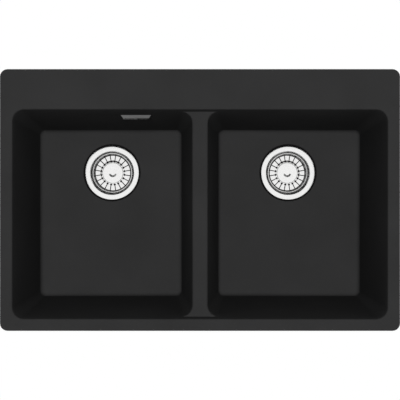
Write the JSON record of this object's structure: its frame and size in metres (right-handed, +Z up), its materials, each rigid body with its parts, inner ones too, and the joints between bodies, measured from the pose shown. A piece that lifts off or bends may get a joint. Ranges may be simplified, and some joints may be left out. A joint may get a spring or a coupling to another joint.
{
  "type": "double bowl kitchen sink",
  "caption": "Drop-in composite granite kitchen sink with two equal bowls, a lowered divider, a rear tap ledge, basket strainers and an overflow.",
  "frame": {"origin": "centre of the rim outline, on the plane of the worktop that the rim rests on", "axes": "+X to the right seen from the front, +Y towards the tap ledge at the rear, +Z up"},
  "size_m": [0.78, 0.51, 0.294],
  "materials": {
    "composite_granite": "fine-grained matt black",
    "polished_steel": "polished",
    "satin_steel": "satin",
    "zinc_plate": "zinc plated",
    "brass": "turned",
    "black_plastic": "moulded",
    "grey_hose": "corrugated",
    "rubber": "matt",
    "sealing_foam": "closed-cell foam"
  },
  "bodies": {
    "sink": {"sink_body": "composite_granite", "rim_seal": "sealing_foam", "left_flange_gasket": "rubber", "left_strainer_flange": "polished_steel", "left_waste_body": "black_plastic", "left_outlet_tail": "black_plastic", "left_body_gasket": "rubber", "left_clamping_screw": "polished_steel", "left_clamping_nut": "brass", "right_flange_gasket": "rubber", "right_strainer_flange": "polished_steel", "right_waste_body": "black_plastic", "right_outlet_tail": "black_plastic", "right_body_gasket": "rubber", "right_clamping_screw": "polished_steel", "right_clamping_nut": "brass", "overflow_cover": "satin_steel", "overflow_screw": "polished_steel", "overflow_gasket": "rubber", "overflow_elbow": "black_plastic", "overflow_hose": "grey_hose", "upper_hose_nut": "black_plastic", "lower_hose_nut": "black_plastic", "front_left_insert": "brass", "front_right_insert": "brass", "right_front_insert": "brass", "right_rear_insert": "brass", "rear_right_insert": "brass", "rear_left_insert": "brass", "left_rear_insert": "brass", "left_front_insert": "brass"},
    "left_plug": {"left_basket_stem": "black_plastic", "left_basket_seal": "rubber"},
    "left_basket": {"left_basket": "satin_steel", "left_basket_cap": "polished_steel"},
    "right_plug": {"right_basket_stem": "black_plastic", "right_basket_seal": "rubber"},
    "right_basket": {"right_basket": "satin_steel", "right_basket_cap": "polished_steel"},
    "front_left_clamp_screw": {"front_left_screw": "zinc_plate"},
    "front_left_clamp_jaw": {"front_left_jaw": "zinc_plate"},
    "front_right_clamp_screw": {"front_right_screw": "zinc_plate"},
    "front_right_clamp_jaw": {"front_right_jaw": "zinc_plate"},
    "right_front_clamp_screw": {"right_front_screw": "zinc_plate"},
    "right_front_clamp_jaw": {"right_front_jaw": "zinc_plate"},
    "right_rear_clamp_screw": {"right_rear_screw": "zinc_plate"},
    "right_rear_clamp_jaw": {"right_rear_jaw": "zinc_plate"},
    "rear_right_clamp_screw": {"rear_right_screw": "zinc_plate"},
    "rear_right_clamp_jaw": {"rear_right_jaw": "zinc_plate"},
    "rear_left_clamp_screw": {"rear_left_screw": "zinc_plate"},
    "rear_left_clamp_jaw": {"rear_left_jaw": "zinc_plate"},
    "left_rear_clamp_screw": {"left_rear_screw": "zinc_plate"},
    "left_rear_clamp_jaw": {"left_rear_jaw": "zinc_plate"},
    "left_front_clamp_screw": {"left_front_screw": "zinc_plate"},
    "left_front_clamp_jaw": {"left_front_jaw": "zinc_plate"}
  },
  "joints": [
    {"name": "left_plug_lift", "type": "slide", "parent": "sink", "child": "left_plug", "axis": [0, 0, 1], "range_m": [0, 0.26]},
    {"name": "left_basket_turn", "type": "hinge", "parent": "left_plug", "child": "left_basket", "pos_m": [-0.1898, 0.0588, -0.21], "axis": [0, 0, 1], "continuous": true},
    {"name": "right_plug_lift", "type": "slide", "parent": "sink", "child": "right_plug", "axis": [0, 0, 1], "range_m": [0, 0.26]},
    {"name": "right_basket_turn", "type": "hinge", "parent": "right_plug", "child": "right_basket", "pos_m": [0.1898, 0.0588, -0.21], "axis": [0, 0, 1], "continuous": true},
    {"name": "front_left_clamp_rise", "type": "slide", "parent": "sink", "child": "front_left_clamp_screw", "axis": [0, 0, 1], "range_m": [0, 0.011]},
    {"name": "front_left_jaw_swing", "type": "hinge", "parent": "front_left_clamp_screw", "child": "front_left_clamp_jaw", "pos_m": [-0.19, -0.23919, -0.0465], "axis": [0, 0, 1], "range_deg": [-90, 0]},
    {"name": "front_right_clamp_rise", "type": "slide", "parent": "sink", "child": "front_right_clamp_screw", "axis": [0, 0, 1], "range_m": [0, 0.011]},
    {"name": "front_right_jaw_swing", "type": "hinge", "parent": "front_right_clamp_screw", "child": "front_right_clamp_jaw", "pos_m": [0.19, -0.23919, -0.0465], "axis": [0, 0, 1], "range_deg": [-90, 0]},
    {"name": "right_front_clamp_rise", "type": "slide", "parent": "sink", "child": "right_front_clamp_screw", "axis": [0, 0, 1], "range_m": [0, 0.011]},
    {"name": "right_front_jaw_swing", "type": "hinge", "parent": "right_front_clamp_screw", "child": "right_front_clamp_jaw", "pos_m": [0.37341, -0.12, -0.0465], "axis": [0, 0, 1], "range_deg": [-90, 0]},
    {"name": "right_rear_clamp_rise", "type": "slide", "parent": "sink", "child": "right_rear_clamp_screw", "axis": [0, 0, 1], "range_m": [0, 0.011]},
    {"name": "right_rear_jaw_swing", "type": "hinge", "parent": "right_rear_clamp_screw", "child": "right_rear_clamp_jaw", "pos_m": [0.37341, 0.09, -0.0465], "axis": [0, 0, 1], "range_deg": [-90, 0]},
    {"name": "rear_right_clamp_rise", "type": "slide", "parent": "sink", "child": "rear_right_clamp_screw", "axis": [0, 0, 1], "range_m": [0, 0.011]},
    {"name": "rear_right_jaw_swing", "type": "hinge", "parent": "rear_right_clamp_screw", "child": "rear_right_clamp_jaw", "pos_m": [0.26, 0.2395, -0.0465], "axis": [0, 0, 1], "range_deg": [-90, 0]},
    {"name": "rear_left_clamp_rise", "type": "slide", "parent": "sink", "child": "rear_left_clamp_screw", "axis": [0, 0, 1], "range_m": [0, 0.011]},
    {"name": "rear_left_jaw_swing", "type": "hinge", "parent": "rear_left_clamp_screw", "child": "rear_left_clamp_jaw", "pos_m": [-0.26, 0.2395, -0.0465], "axis": [0, 0, 1], "range_deg": [-90, 0]},
    {"name": "left_rear_clamp_rise", "type": "slide", "parent": "sink", "child": "left_rear_clamp_screw", "axis": [0, 0, 1], "range_m": [0, 0.011]},
    {"name": "left_rear_jaw_swing", "type": "hinge", "parent": "left_rear_clamp_screw", "child": "left_rear_clamp_jaw", "pos_m": [-0.37341, 0.09, -0.0465], "axis": [0, 0, 1], "range_deg": [-90, 0]},
    {"name": "left_front_clamp_rise", "type": "slide", "parent": "sink", "child": "left_front_clamp_screw", "axis": [0, 0, 1], "range_m": [0, 0.011]},
    {"name": "left_front_jaw_swing", "type": "hinge", "parent": "left_front_clamp_screw", "child": "left_front_clamp_jaw", "pos_m": [-0.37341, -0.12, -0.0465], "axis": [0, 0, 1], "range_deg": [-90, 0]}
  ]
}
